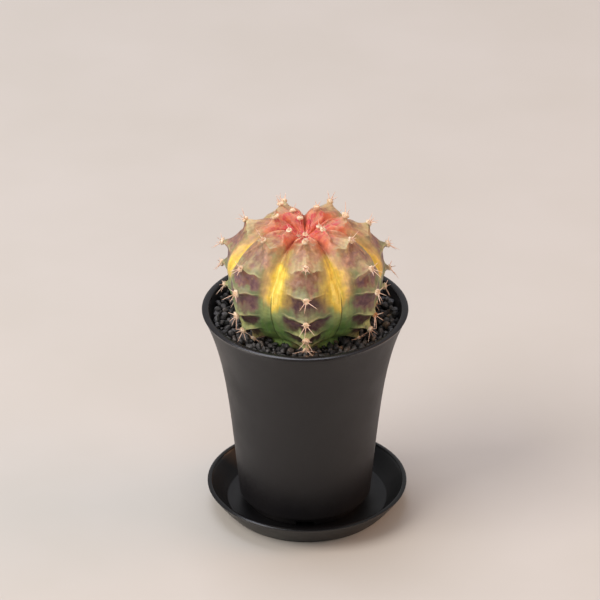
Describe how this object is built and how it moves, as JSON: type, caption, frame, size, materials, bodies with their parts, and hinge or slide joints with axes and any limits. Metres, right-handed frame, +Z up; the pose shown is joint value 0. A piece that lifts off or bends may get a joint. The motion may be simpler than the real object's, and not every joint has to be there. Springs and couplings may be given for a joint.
{
  "type": "potted moon cactus",
  "caption": "Small ribbed moon cactus with woolly areoles and pale spines, in a flared black plastic pot with dark gravel, standing on a round saucer.",
  "frame": {"origin": "centre of the pot on the surface that the saucer stands on", "axes": "+Z up along the pot's axis, -Y towards the front of the plant, +X to the right of it"},
  "size_m": [0.0702, 0.0702, 0.1144],
  "materials": {
    "saucer": "black moulded polypropylene, satin",
    "pot": "black moulded polypropylene, fine matt grain",
    "soil": "dark brown potting mix of peat and bark",
    "grit": "black lava gravel, rough and porous",
    "cactus": "waxy plant skin, green and purple low down, yellow along the grooves, coral red at the crown"
  },
  "bodies": {
    "root": {"saucer": "saucer", "pot": "pot", "soil": "soil", "grit": "grit", "cactus": "cactus"}
  },
  "joints": []
}
